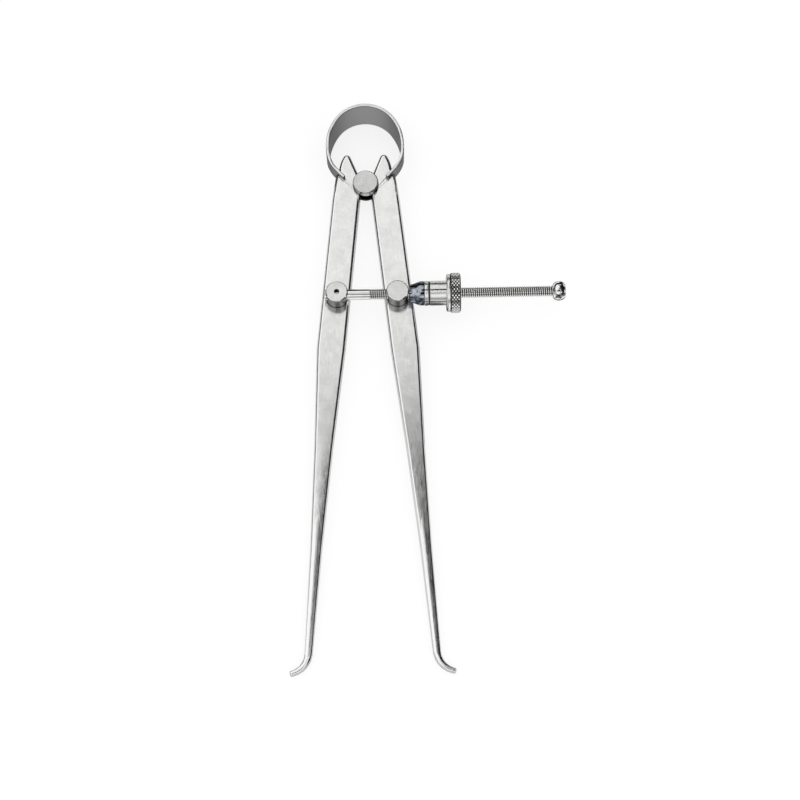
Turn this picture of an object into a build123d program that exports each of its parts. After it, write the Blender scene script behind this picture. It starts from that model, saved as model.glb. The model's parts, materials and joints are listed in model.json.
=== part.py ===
from build123d import *
from math import atan2, cos, degrees, pi, radians, sin, sqrt, tan
import os

# Inside spring caliper for shop measuring, nominal size 6 inch.
#
# The tool lies flat. The origin is the fulcrum axis in the middle plane of the legs, +X runs along the
# adjusting screw towards its nut, +Y towards the bow spring and +Z out of the legs' front faces.
# Lengths are in millimetres and angles in degrees.

# ---------------------------------------------------------------- driving dimensions
# Legs. A leg is drawn closed, with its inner edge along Y, then swung open about the fulcrum axis.
HALF_OPENING = 5.85  # swing of each leg from closed, as built
LEG_INSET = 1.22  # fulcrum axis to a leg's inner edge
LEG_WIDTH = 8.55  # parallel upper bar
LEG_THICKNESS = 2.8
BAR_LENGTH = 54.5  # fulcrum axis to the start of the taper
ANKLE_REACH = 146.2  # fulcrum axis to the start of the foot's curve
ANKLE_INSET = 2.08  # inner edge at the ankle, from the closed centre line
ANKLE_WIDTH = 2.25
ANKLE_THICKNESS = 2.3
OUTER_HOLLOW = 0.51  # how far the tapered shank's edges curve in from straight
INNER_HOLLOW = 0.6
FOOT_RADIUS = 6.1  # middle of the foot's outward curve
TOE_ANGLE = 20.0  # of the foot's end, below square to the leg
TOE_LENGTH = 0.7  # straight end of the foot
TOE_WIDTH = 1.5
TOE_THICKNESS = 1.8
SHANK_SPANS = 3  # straight spans that the shank's curve is drawn in
FOOT_SPANS = 5
EDGE_ROUND = 1.0  # on the long edges of the bar's faces
ANKLE_ROUND = 0.6  # the same at the ankle
TOE_ROUND = 0.45
ANKLE_CROWN = 0.42  # rise of the ankle's faces from edge to middle, nothing at the bar
TOE_CROWN = 0.3
TOE_NOSE = 0.3  # bevel round the foot's end
HORN_HEIGHT = 9.85  # fulcrum axis to the tip of the horn
HORN_NOSE = 1.2  # radius of the tip
HORN_ANGLE = 27.7  # of the horn's inner edge, from the leg's length
HORN_OFFSET = 0.7  # fulcrum axis to that edge, sideways
HORN_OUTER_X = 8.65
HORN_SWELL = 5.35  # tip to where the outer edge runs straight
SHOULDER_HEIGHT = 3.0  # fulcrum axis to the corner under the bow's notch
SHOULDER_X = 9.4
SHOULDER_DROP = 9.0  # corner to where the outer edge runs straight

# Fulcrum stud, a spool between the legs
STUD_RADIUS = 2.25
STUD_HEAD_RADIUS = 3.85
STUD_HEAD_THICKNESS = 2.1
REAR_HEAD_RADIUS = 3.75
REAR_HEAD_THICKNESS = 0.9
TENON_SIDE = 2.5  # stud's squared end, riveted over in the rear head
STUD_HEAD_CHAMFER = 0.2

# Bow spring, a flat strip bent edgewise round the stud
BOW_WIDTH = 12.0
BOW_THICKNESS = 1.0
BOW_HALF_SPAN = 11.5  # middle of the strip, sideways
BOW_RISE = 13.7  # widest point to the crown
BOW_CROWN_INSET = 1.1  # half the bow's width less the crown's radius
BOW_CENTRE_Y = 11.3  # fulcrum axis to the widest point
BOW_LOWER_RADIUS = 9.5
BOW_LOWER_TURN = 41.5
BOW_END_LENGTH = 3.9  # straight ends
BOW_END_WIDTH = 6.0
BOW_TAPER_TOP = 17.0  # heights between which the strip narrows
BOW_TAPER_FOOT = 5.0
TINE_LENGTH = 1.4  # how far the forked ends lap over the legs
NOTCH_RADIUS = 0.75

# Posts, which turn in the legs and carry the adjusting screw in front of them
POST_ALONG = 38.0  # fulcrum axis to the post, along the leg
POST_ACROSS = 5.25  # and across it
POST_RADIUS = 3.25
POST_HEIGHT = 4.9  # above the leg's face
POST_JOURNAL_RADIUS = 2.0
POST_CHAMFER = 0.15
RIVET_HEAD_RADIUS = 3.0
RIVET_HEAD_THICKNESS = 0.8
RIVET_TENON_SIDE = 2.0  # square, so that the head turns with its post

# Adjusting screw, a 1/8 inch thread of 40 turns to the inch
SCREW_RADIUS = 1.5875
SCREW_HEIGHT = 2.15  # axis above the leg's face
SCREW_STUB = 3.7  # left post's axis to the plain end
SCREW_END_CHAMFER = 0.25
THREAD_END = 64.55  # left post's axis to the knob
PIN_RADIUS = 0.75
PIN_DEPTH = 3.0
PIN_SINK = 0.1
KNOB_RADIUS = 2.9
KNOB_LENGTH = 3.75
KNOB_FACE_RADIUS = 1.7
KNOB_BEVEL = 1.15
KNOB_SEAT = 2.6  # how far the screw's end goes in

# Split spring nut and the cup that it seats in
CUP_GAP = 0.1  # post's side to the cup
CUP_LENGTH = 4.6
CUP_NECK_RADIUS = 2.8
CUP_MOUTH_RADIUS = 3.62
CUP_RIM = 1.1  # full round part of the mouth
CUP_WALL = 0.45
CUP_COLLAR = 0.9  # plain part of the neck
CUP_CONE_DEPTH = 1.7  # recess for the jaws' noses
CUP_CONE_RADIUS = 2.35
CUP_FLAT_GAP = 0.2  # flat under the neck to the leg's face
NOSE_LENGTH = 1.5  # of the jaws, inside the cup
NOSE_RADIUS = 2.25
NOSE_FLARE = 0.65
BARREL_RADIUS = 3.675
BARREL_LENGTH = 6.6
JAW_COUNT = 6
JAW_SLOT = 0.28
SLOT_ANGLE = 6.0  # first slot, from the front of the nut towards the legs' feet
JAW_BORE_RADIUS = 1.67
HEEL_RADIUS = 4.4
HEEL_LENGTH = 1.6
RING_POSITION = 1.45  # cup's mouth to the ring spring
RING_WIRE = 0.4
RING_SINK = 0.08  # ring's top under the barrel's surface
RING_SIDES = 4
RING_GAP_ANGLE = 25.0
FLANGE_RADIUS = 5.625
FLANGE_THICKNESS = 1.1
KNURL_RADIUS = 6.0
KNURL_LENGTH = 3.1
KNURL_CHAMFER = 0.3

# Clearances
RUNNING = 0.05  # turning fits, on the radius
SIDE_PLAY = 0.05  # between stacked faces that slide
FIT = 0.01  # parts that are pressed or riveted together
SCREW_CLEARANCE = 0.12  # screw in the right post and through the nut
FORK_CLEARANCE = 0.1  # bow's fork on each face of a leg

# ---------------------------------------------------------------- worked out from them
FACE_Z = LEG_THICKNESS / 2
SCREW_Z = FACE_Z + SCREW_HEIGHT
POST_TOP_Z = FACE_Z + POST_HEIGHT
BAR_OUTER_X = LEG_INSET + LEG_WIDTH
OPEN = radians(HALF_OPENING)
POST_X = POST_ACROSS * cos(OPEN) + POST_ALONG * sin(OPEN)
POST_Y = POST_ACROSS * sin(OPEN) - POST_ALONG * cos(OPEN)
SEAT_RADIUS = STUD_RADIUS + RUNNING
SCREW_AXIS = Axis((0, POST_Y, SCREW_Z), (1, 0, 0))
# Section plane of everything turned about the screw: local x is measured from the post, local y outwards
LEFT_SECTION = Plane(origin=(-POST_X, POST_Y, SCREW_Z), x_dir=(1, 0, 0), z_dir=(0, -1, 0))
RIGHT_SECTION = Plane(origin=(POST_X, POST_Y, SCREW_Z), x_dir=(1, 0, 0), z_dir=(0, -1, 0))
KNOB_END = THREAD_END + KNOB_LENGTH
CUP_START = POST_RADIUS + CUP_GAP
CUP_MOUTH = CUP_START + CUP_LENGTH
BARREL_END = CUP_MOUTH + BARREL_LENGTH
KNURL_START = BARREL_END + FLANGE_THICKNESS

# Direction in which the bow's right end points, and where the fork's web ends
END_ANGLE = radians(BOW_LOWER_TURN)
BOW_END_X = BOW_HALF_SPAN - BOW_LOWER_RADIUS * (1 - cos(END_ANGLE)) - BOW_END_LENGTH * sin(END_ANGLE)
BOW_END_Y = BOW_CENTRE_Y - BOW_LOWER_RADIUS * sin(END_ANGLE) - BOW_END_LENGTH * cos(END_ANGLE)
WEB_BACK = TINE_LENGTH + BOW_THICKNESS / 2
WEB_X = BOW_END_X + WEB_BACK * sin(END_ANGLE)
WEB_Y = BOW_END_Y + WEB_BACK * cos(END_ANGLE)
NOTCH_SHIFT = NOTCH_RADIUS - BOW_THICKNESS / 2 - RUNNING
NOTCH_X = WEB_X + NOTCH_SHIFT * sin(END_ANGLE)
NOTCH_Y = WEB_Y + NOTCH_SHIFT * cos(END_ANGLE)


def finish(builder, name):
    """Label a finished piece and write it."""
    builder.part.label = name
    export_step(builder.part, f"parts/{name}.step")


def blend(start, end, share):
    """A value part of the way from start to end."""
    return start + (end - start) * share


# ---------------------------------------------------------------- legs
# Horn: its inner edge runs from the stud's seat to a round nose, and a long arc swells down its outer side.
HORN_SLOPE = radians(HORN_ANGLE)
horn_run = sqrt(SEAT_RADIUS**2 - (HORN_OFFSET * cos(HORN_SLOPE)) ** 2) - HORN_OFFSET * sin(HORN_SLOPE)
horn_foot = (HORN_OFFSET + horn_run * sin(HORN_SLOPE), horn_run * cos(HORN_SLOPE))
nose_y = HORN_HEIGHT - HORN_NOSE
nose_x = HORN_OFFSET + nose_y * tan(HORN_SLOPE) + HORN_NOSE / cos(HORN_SLOPE)
nose_start = (nose_x - HORN_NOSE * cos(HORN_SLOPE), nose_y + HORN_NOSE * sin(HORN_SLOPE))
swell_x, swell_y = nose_x - HORN_OUTER_X, HORN_SWELL - HORN_NOSE
swell_radius = (HORN_NOSE**2 - swell_x**2 - swell_y**2) / (2 * (swell_x + HORN_NOSE))
swell_turn = degrees(atan2(swell_y, swell_x + swell_radius))
seat_low = (LEG_INSET, -sqrt(SEAT_RADIUS**2 - LEG_INSET**2))
shoulder_low = (BAR_OUTER_X, SHOULDER_HEIGHT - SHOULDER_DROP)


def shank_span(share):
    """Width and middle of the shank, part of the way from the bar to the ankle."""
    hollow = 4 * share * (1 - share)
    inner = blend(LEG_INSET, ANKLE_INSET, share) + INNER_HOLLOW * hollow
    outer = blend(BAR_OUTER_X, ANKLE_INSET + ANKLE_WIDTH, share) - OUTER_HOLLOW * hollow
    return outer - inner, (outer + inner) / 2


def leg_section(plane, width, thickness, crown, rounding):
    """A rounded section whose two faces rise by the crown from their edges to the middle."""
    side, high = width / 2, thickness / 2
    edge = high - crown
    with BuildSketch(plane) as section:
        with BuildLine():
            if crown:
                ThreePointArc((-side, edge), (0, high), (side, edge))
                ThreePointArc((side, -edge), (0, -high), (-side, -edge))
            else:
                Line((-side, edge), (side, edge))
                Line((side, -edge), (-side, -edge))
            Line((side, edge), (side, -edge))
            Line((-side, -edge), (-side, edge))
        make_face()
        fillet(section.vertices(), rounding)
    return section.sketch


with BuildPart() as leg:
    # bar, with the half-round seat for the stud and the horn above it
    with BuildSketch():
        with BuildLine():
            Line((LEG_INSET, -BAR_LENGTH), seat_low)
            ThreePointArc(seat_low, (SEAT_RADIUS, 0), horn_foot)
            Line(horn_foot, nose_start)
            nose = JernArc(nose_start, (sin(HORN_SLOPE), cos(HORN_SLOPE)), HORN_NOSE,
                           HORN_ANGLE + swell_turn - 180)
            swell = JernArc(nose @ 1, nose % 1, swell_radius, -swell_turn)
            Line(swell @ 1, (SHOULDER_X, SHOULDER_HEIGHT))
            Polyline((SHOULDER_X, SHOULDER_HEIGHT), shoulder_low, (BAR_OUTER_X, -BAR_LENGTH))
            Line((BAR_OUTER_X, -BAR_LENGTH), (LEG_INSET, -BAR_LENGTH))
        make_face()
    extrude(amount=LEG_THICKNESS / 2, both=True)
    face_edges = [edge for edge in leg.edges()
                  if abs((edge @ 0.5).Z) > LEG_THICKNESS / 4
                  and ((edge @ 0.5).X > SEAT_RADIUS or (edge @ 0.5).Y < seat_low[1])
                  and (edge @ 0.5).Y > EDGE_ROUND - BAR_LENGTH]
    fillet(face_edges, EDGE_ROUND)
    # shank: its sections narrow to the ankle, and their faces become crowned
    shank = []
    for step in range(SHANK_SPANS + 1):
        share = step / SHANK_SPANS
        width, middle = shank_span(share)
        reach = blend(BAR_LENGTH, ANKLE_REACH, share)
        shank.append(leg_section(
            Plane((middle, -reach, 0), x_dir=(1, 0, 0), z_dir=(0, -1, 0)), width,
            blend(LEG_THICKNESS, ANKLE_THICKNESS, share**1.5), ANKLE_CROWN * share**2,
            blend(EDGE_ROUND, ANKLE_ROUND, share)))
    loft(shank, ruled=True)
    # foot: the same section turned outwards round a centre beside the ankle, then straight to its end
    toe_direction = radians(90 - TOE_ANGLE)
    foot = []
    for step in range(FOOT_SPANS + 2):
        share = min(step / FOOT_SPANS, 1)
        turn = toe_direction * share
        beyond = TOE_LENGTH if step > FOOT_SPANS else 0
        middle = ANKLE_INSET + ANKLE_WIDTH / 2 + FOOT_RADIUS * (1 - cos(turn)) + beyond * sin(turn)
        reach = ANKLE_REACH + FOOT_RADIUS * sin(turn) + beyond * cos(turn)
        foot.append(leg_section(
            Plane((middle, -reach, 0), x_dir=(cos(turn), sin(turn), 0), z_dir=(sin(turn), -cos(turn), 0)),
            blend(ANKLE_WIDTH, TOE_WIDTH, share), blend(ANKLE_THICKNESS, TOE_THICKNESS, share),
            blend(ANKLE_CROWN, TOE_CROWN, share), blend(ANKLE_ROUND, TOE_ROUND, share)))
    loft(foot, ruled=True)
    toe_end = leg.faces().sort_by(Axis((0, 0, 0), (sin(toe_direction), -cos(toe_direction), 0)))[-1]
    chamfer(toe_end.edges(), TOE_NOSE)
    # bearing for the post
    with BuildSketch():
        with Locations((POST_ACROSS, -POST_ALONG)):
            Circle(POST_JOURNAL_RADIUS + RUNNING)
    extrude(amount=LEG_THICKNESS, both=True, mode=Mode.SUBTRACT)

with BuildPart() as right_leg:
    add(leg.part.rotate(Axis.Z, HALF_OPENING))
    # notch in the outer edge, open along the bow's end
    with BuildSketch():
        with Locations(Location((NOTCH_X, NOTCH_Y, 0), (0, 0, 90 - BOW_LOWER_TURN))):
            Circle(NOTCH_RADIUS)
            Rectangle(2 * NOTCH_RADIUS, 2 * NOTCH_RADIUS, align=(Align.MIN, Align.CENTER))
    extrude(amount=LEG_THICKNESS, both=True, mode=Mode.SUBTRACT)
finish(right_leg, "right_leg")

with BuildPart() as left_leg:
    add(right_leg.part.mirror(Plane.YZ))
finish(left_leg, "left_leg")


# ---------------------------------------------------------------- fulcrum stud
with BuildPart() as fulcrum_stud:
    with BuildSketch(Plane.XY.offset(FACE_Z + SIDE_PLAY)):
        Circle(STUD_HEAD_RADIUS)
    extrude(amount=STUD_HEAD_THICKNESS)
    chamfer(fulcrum_stud.edges().group_by(Axis.Z)[-1], STUD_HEAD_CHAMFER)
    with BuildSketch(Plane.XY.offset(FACE_Z + SIDE_PLAY)):
        Circle(STUD_RADIUS)
    extrude(amount=-LEG_THICKNESS - 2 * SIDE_PLAY)
    with BuildSketch(Plane.XY.offset(-FACE_Z - SIDE_PLAY)):
        Rectangle(TENON_SIDE, TENON_SIDE)
    extrude(amount=-REAR_HEAD_THICKNESS)
finish(fulcrum_stud, "fulcrum_stud")

with BuildPart() as fulcrum_rear_head:
    with BuildSketch(Plane.XY.offset(-FACE_Z - SIDE_PLAY)):
        Circle(REAR_HEAD_RADIUS)
        Rectangle(TENON_SIDE + 2 * FIT, TENON_SIDE + 2 * FIT, mode=Mode.SUBTRACT)
    extrude(amount=-REAR_HEAD_THICKNESS)
finish(fulcrum_rear_head, "fulcrum_rear_head")


# ---------------------------------------------------------------- bow spring
# Its middle line is a crown arc between two side arcs, below which it turns in to the legs.
BOW_CROWN_RADIUS = BOW_HALF_SPAN - BOW_CROWN_INSET
crown_drop = BOW_RISE - BOW_CROWN_RADIUS
BOW_SIDE_RADIUS = (BOW_HALF_SPAN**2 + crown_drop**2 - BOW_CROWN_RADIUS**2) / (2 * BOW_CROWN_INSET)
BOW_SIDE_TURN = degrees(atan2(crown_drop, BOW_SIDE_RADIUS - BOW_HALF_SPAN))


def bow_edge(shift):
    """Right half of the strip's edge, moved outwards from its middle line. Returns its two ends."""
    side_start = (BOW_HALF_SPAN + shift, BOW_CENTRE_Y)
    side = JernArc(side_start, (0, 1), BOW_SIDE_RADIUS + shift, BOW_SIDE_TURN)
    crown = JernArc(side @ 1, side % 1, BOW_CROWN_RADIUS + shift, 90 - BOW_SIDE_TURN)
    lower = JernArc(side_start, (0, -1), BOW_LOWER_RADIUS + shift, -BOW_LOWER_TURN)
    straight = Line(lower @ 1, (lower @ 1) + (lower % 1) * BOW_END_LENGTH)
    return crown @ 1, straight @ 1


with BuildPart() as bow_spring:
    with BuildSketch():
        with BuildLine():
            outer_top, outer_end = bow_edge(BOW_THICKNESS / 2)
            inner_top, inner_end = bow_edge(-BOW_THICKNESS / 2)
            Line(outer_top, inner_top)
            Line(outer_end, inner_end)
        make_face()
        mirror(about=Plane.YZ)
    extrude(amount=BOW_WIDTH / 2, both=True)
    # the strip keeps its width over the crown and narrows to its ends
    bow_low, bow_high = 0, BOW_CENTRE_Y + BOW_RISE + BOW_THICKNESS
    with BuildSketch(Plane.YZ):
        with BuildLine():
            Polyline((bow_high, 0), (bow_high, BOW_WIDTH / 2), (BOW_TAPER_TOP, BOW_WIDTH / 2))
            Spline((BOW_TAPER_TOP, BOW_WIDTH / 2), (BOW_TAPER_FOOT, BOW_END_WIDTH / 2),
                   tangents=((-1, 0), (-1, 0)))
            Polyline((BOW_TAPER_FOOT, BOW_END_WIDTH / 2), (bow_low, BOW_END_WIDTH / 2), (bow_low, 0))
            Line((bow_low, 0), (bow_high, 0))
        make_face()
        mirror(about=Plane.XZ)
    extrude(amount=2 * BOW_HALF_SPAN, both=True, mode=Mode.INTERSECT)
    # forked ends, whose web is round and sits in the legs' notches
    with BuildSketch():
        with Locations(Location((WEB_X, WEB_Y, 0), (0, 0, 90 - BOW_LOWER_TURN))):
            Rectangle(2 * WEB_BACK, 2 * BOW_THICKNESS, align=(Align.MAX, Align.CENTER))
            Circle(BOW_THICKNESS / 2, mode=Mode.SUBTRACT)
        mirror(about=Plane.YZ)
    extrude(amount=FACE_Z + FORK_CLEARANCE, both=True, mode=Mode.SUBTRACT)
finish(bow_spring, "bow_spring")


# ---------------------------------------------------------------- posts
def disc(x, z, radius):
    """A circle round a post's axis, at a height."""
    with BuildSketch(Plane((x, POST_Y, z))) as circle:
        Circle(radius)
    return circle.sketch


def post_body(x):
    """Proud head, journal through the leg and tenon for the rivet head."""
    extrude(disc(x, FACE_Z + SIDE_PLAY, POST_RADIUS), amount=POST_HEIGHT - SIDE_PLAY)
    extrude(disc(x, FACE_Z + SIDE_PLAY, POST_JOURNAL_RADIUS), amount=-LEG_THICKNESS - 2 * SIDE_PLAY)
    with BuildSketch(Plane((x, POST_Y, -FACE_Z - SIDE_PLAY))) as tenon:
        Rectangle(RIVET_TENON_SIDE, RIVET_TENON_SIDE)
    extrude(tenon.sketch, amount=-RIVET_HEAD_THICKNESS)


def cross_hole(x, radius):
    """The hole through a post along the screw's axis."""
    with BuildSketch(Plane.YZ.offset(x)) as hole:
        with Locations((POST_Y, SCREW_Z)):
            Circle(radius)
    extrude(hole.sketch, amount=2 * POST_RADIUS, both=True, mode=Mode.SUBTRACT)


def pin_hole():
    """The hole for the lock pin, down from the left post's face."""
    extrude(disc(-POST_X, POST_TOP_Z, PIN_RADIUS + FIT), amount=-PIN_DEPTH, mode=Mode.SUBTRACT)


with BuildPart() as left_post:
    post_body(-POST_X)
    chamfer(left_post.edges().group_by(Axis.Z)[-1], POST_CHAMFER)
    cross_hole(-POST_X, SCREW_RADIUS + FIT)
    pin_hole()
finish(left_post, "left_post")

with BuildPart() as right_post:
    post_body(POST_X)
    chamfer(right_post.edges().group_by(Axis.Z)[-1], POST_CHAMFER)
    cross_hole(POST_X, SCREW_RADIUS + SCREW_CLEARANCE)
finish(right_post, "right_post")

with BuildPart() as left_post_rivet_head:
    with BuildSketch(Plane.XY.offset(-FACE_Z - SIDE_PLAY)):
        with Locations((-POST_X, POST_Y)):
            Circle(RIVET_HEAD_RADIUS)
            Rectangle(RIVET_TENON_SIDE + 2 * FIT, RIVET_TENON_SIDE + 2 * FIT, mode=Mode.SUBTRACT)
    extrude(amount=-RIVET_HEAD_THICKNESS)
finish(left_post_rivet_head, "left_post_rivet_head")

with BuildPart() as right_post_rivet_head:
    add(left_post_rivet_head.part.mirror(Plane.YZ))
finish(right_post_rivet_head, "right_post_rivet_head")


# ---------------------------------------------------------------- adjusting screw
with BuildPart() as adjusting_screw:
    with BuildSketch(Plane.YZ.offset(-POST_X - SCREW_STUB)):
        with Locations((POST_Y, SCREW_Z)):
            Circle(SCREW_RADIUS)
    extrude(amount=SCREW_STUB + THREAD_END + KNOB_SEAT)
    chamfer(adjusting_screw.faces().sort_by(Axis.X)[0].edges(), SCREW_END_CHAMFER)
    pin_hole()
finish(adjusting_screw, "adjusting_screw")

with BuildPart() as screw_lock_pin:
    with BuildSketch(Plane.XY.offset(POST_TOP_Z - PIN_SINK)):
        with Locations((-POST_X, POST_Y)):
            Circle(PIN_RADIUS)
    extrude(amount=PIN_SINK - PIN_DEPTH + FIT)
finish(screw_lock_pin, "screw_lock_pin")

with BuildPart() as screw_end_knob:
    with BuildSketch(LEFT_SECTION):
        with BuildLine():
            Polyline((THREAD_END, 0), (THREAD_END, KNOB_FACE_RADIUS),
                     (THREAD_END + KNOB_BEVEL, KNOB_RADIUS), (KNOB_END - KNOB_BEVEL, KNOB_RADIUS),
                     (KNOB_END, KNOB_FACE_RADIUS), (KNOB_END, 0), close=True)
        make_face()
    revolve(axis=SCREW_AXIS)
    with BuildSketch(Plane.YZ.offset(THREAD_END - POST_X)):
        with Locations((POST_Y, SCREW_Z)):
            Circle(SCREW_RADIUS + FIT)
    extrude(amount=KNOB_SEAT + FIT, mode=Mode.SUBTRACT)
finish(screw_end_knob, "screw_end_knob")


# ---------------------------------------------------------------- seat cup
CUP_BORE = SCREW_RADIUS + SCREW_CLEARANCE
with BuildPart() as seat_cup:
    with BuildSketch(RIGHT_SECTION):
        with BuildLine():
            Polyline((CUP_START, CUP_BORE), (CUP_START, CUP_NECK_RADIUS),
                     (CUP_START + CUP_COLLAR, CUP_NECK_RADIUS), (CUP_MOUTH - CUP_RIM, CUP_MOUTH_RADIUS),
                     (CUP_MOUTH, CUP_MOUTH_RADIUS), (CUP_MOUTH, CUP_MOUTH_RADIUS - CUP_WALL),
                     (CUP_MOUTH - CUP_CONE_DEPTH, CUP_CONE_RADIUS),
                     (CUP_MOUTH - CUP_CONE_DEPTH, CUP_BORE), close=True)
        make_face()
    revolve(axis=SCREW_AXIS)
    # flat under the neck, which clears the leg and keeps the cup from turning
    with BuildSketch(Plane.XY.offset(FACE_Z + CUP_FLAT_GAP)):
        with Locations((POST_X + CUP_START, POST_Y)):
            Rectangle(CUP_LENGTH - CUP_RIM, 2 * CUP_MOUTH_RADIUS, align=(Align.MIN, Align.CENTER))
    extrude(amount=-CUP_MOUTH_RADIUS, mode=Mode.SUBTRACT)
finish(seat_cup, "seat_cup")


# ---------------------------------------------------------------- split spring nut
# The jaws are cut from one turned blank, so their noses, barrels and heels line up.
GROOVE_START = CUP_MOUTH + RING_POSITION - RING_WIRE / 2 - RUNNING
GROOVE_RADIUS = BARREL_RADIUS - RING_WIRE - RING_SINK
NOSE_START = CUP_MOUTH - NOSE_LENGTH
HEEL_START = KNURL_START + RUNNING
HEEL_END = HEEL_START + HEEL_LENGTH
with BuildPart() as jaw_blank:
    with BuildSketch(RIGHT_SECTION):
        with BuildLine():
            Polyline((NOSE_START, JAW_BORE_RADIUS), (NOSE_START, NOSE_RADIUS),
                     (CUP_MOUTH + RUNNING, NOSE_RADIUS + NOSE_FLARE),
                     (CUP_MOUTH + RUNNING, BARREL_RADIUS), (HEEL_START, BARREL_RADIUS),
                     (HEEL_START, HEEL_RADIUS), (HEEL_END, HEEL_RADIUS), (HEEL_END, JAW_BORE_RADIUS),
                     close=True)
        make_face()
        with Locations((GROOVE_START, GROOVE_RADIUS)):
            Rectangle(RING_WIRE + 2 * RUNNING, BARREL_RADIUS, align=(Align.MIN, Align.MIN),
                      mode=Mode.SUBTRACT)
    revolve(axis=SCREW_AXIS)
    slot_height = HEEL_RADIUS + FLANGE_THICKNESS
    for index in range(JAW_COUNT):
        around = radians(SLOT_ANGLE + index * 360 / JAW_COUNT)
        outwards = (0, -sin(around), cos(around))
        with BuildSketch(Plane((POST_X, POST_Y, SCREW_Z), x_dir=(1, 0, 0), z_dir=outwards)):
            with Locations((NOSE_START - RUNNING, 0)):
                Rectangle(HEEL_END - NOSE_START + 2 * RUNNING, JAW_SLOT, align=(Align.MIN, Align.CENTER))
        extrude(amount=slot_height, mode=Mode.SUBTRACT)

jaws = sorted(jaw_blank.solids(), key=lambda jaw: degrees(
    atan2(POST_Y - jaw.center().Y, jaw.center().Z - SCREW_Z)) % 360)
for number, solid in enumerate(jaws, 1):
    with BuildPart() as nut_jaw:
        add(solid)
    finish(nut_jaw, f"nut_jaw_{number}")

with BuildPart() as jaw_ring_spring:
    with BuildSketch(RIGHT_SECTION):
        with Locations((CUP_MOUTH + RING_POSITION, GROOVE_RADIUS + FIT + RING_WIRE / 2)):
            RegularPolygon(RING_WIRE / 2, RING_SIDES)
    revolve(axis=SCREW_AXIS, revolution_arc=360 - RING_GAP_ANGLE)
finish(jaw_ring_spring, "jaw_ring_spring")

with BuildPart() as nut_retaining_flange:
    with BuildSketch(RIGHT_SECTION):
        with Locations((BARREL_END, BARREL_RADIUS + RUNNING)):
            Rectangle(FLANGE_THICKNESS, FLANGE_RADIUS - BARREL_RADIUS - RUNNING,
                      align=(Align.MIN, Align.MIN))
    revolve(axis=SCREW_AXIS)
    chamfer(nut_retaining_flange.edges().sort_by(Axis.X).group_by(Axis.X)[0].sort_by(
        SortBy.LENGTH)[-1], KNURL_CHAMFER)
finish(nut_retaining_flange, "nut_retaining_flange")

with BuildPart() as thumb_nut:
    with BuildSketch(RIGHT_SECTION):
        with Locations((KNURL_START, CUP_BORE)):
            Rectangle(KNURL_LENGTH, KNURL_RADIUS - CUP_BORE, align=(Align.MIN, Align.MIN))
        with Locations((KNURL_START, 0)):
            Rectangle(HEEL_END + RUNNING - KNURL_START, HEEL_RADIUS + RUNNING,
                      align=(Align.MIN, Align.MIN), mode=Mode.SUBTRACT)
    revolve(axis=SCREW_AXIS)
    rims = thumb_nut.edges().filter_by(lambda edge: edge.length > 2 * pi * KNURL_RADIUS - RUNNING)
    chamfer(rims, KNURL_CHAMFER)
finish(thumb_nut, "thumb_nut")
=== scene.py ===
# %% [markdown]
# # Inside spring caliper
#
# The tool lies on its back: two flat steel legs with feet turned outwards, a bow spring round a fulcrum stud,
# and an adjusting screw with a quick-acting split nut. The exact CAD parts are the frame of this lesson. They
# keep every size and every bearing, and the lesson gives them the thread, the knurl, the eased corners and
# the finishes that the solids leave out.

# %% Load the frame
import json
from math import cos, degrees, pi, radians, sin

import bmesh
import bpy
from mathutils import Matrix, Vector

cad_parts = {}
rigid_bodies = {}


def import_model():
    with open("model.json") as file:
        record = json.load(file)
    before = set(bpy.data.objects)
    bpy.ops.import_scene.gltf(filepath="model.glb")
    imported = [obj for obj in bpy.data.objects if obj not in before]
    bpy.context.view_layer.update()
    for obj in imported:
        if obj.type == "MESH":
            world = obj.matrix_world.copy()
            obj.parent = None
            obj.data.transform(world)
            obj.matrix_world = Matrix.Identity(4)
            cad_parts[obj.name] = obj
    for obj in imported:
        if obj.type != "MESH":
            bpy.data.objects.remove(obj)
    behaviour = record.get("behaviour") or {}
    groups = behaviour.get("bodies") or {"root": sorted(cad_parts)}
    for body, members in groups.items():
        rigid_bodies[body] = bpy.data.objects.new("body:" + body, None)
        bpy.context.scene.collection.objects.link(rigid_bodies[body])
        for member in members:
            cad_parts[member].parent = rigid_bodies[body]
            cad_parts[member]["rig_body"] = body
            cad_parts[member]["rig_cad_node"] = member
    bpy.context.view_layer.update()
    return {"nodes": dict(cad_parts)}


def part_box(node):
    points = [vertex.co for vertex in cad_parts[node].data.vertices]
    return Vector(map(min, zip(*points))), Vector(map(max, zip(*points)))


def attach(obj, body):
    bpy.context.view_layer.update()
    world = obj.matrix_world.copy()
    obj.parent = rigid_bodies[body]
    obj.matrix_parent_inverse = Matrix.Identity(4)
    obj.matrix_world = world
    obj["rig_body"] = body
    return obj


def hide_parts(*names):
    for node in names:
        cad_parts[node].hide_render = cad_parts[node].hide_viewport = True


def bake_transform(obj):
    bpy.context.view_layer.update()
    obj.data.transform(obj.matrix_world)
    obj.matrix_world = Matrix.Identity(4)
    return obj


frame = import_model()
nodes = frame["nodes"]

# %% [markdown]
# ## Camera
# The tool is seen from the feet's side, from about 70 degrees above, through a long lens a little over half a
# metre away. A long lens keeps the legs nearly parallel, as a tool catalogue shows them.

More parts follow.
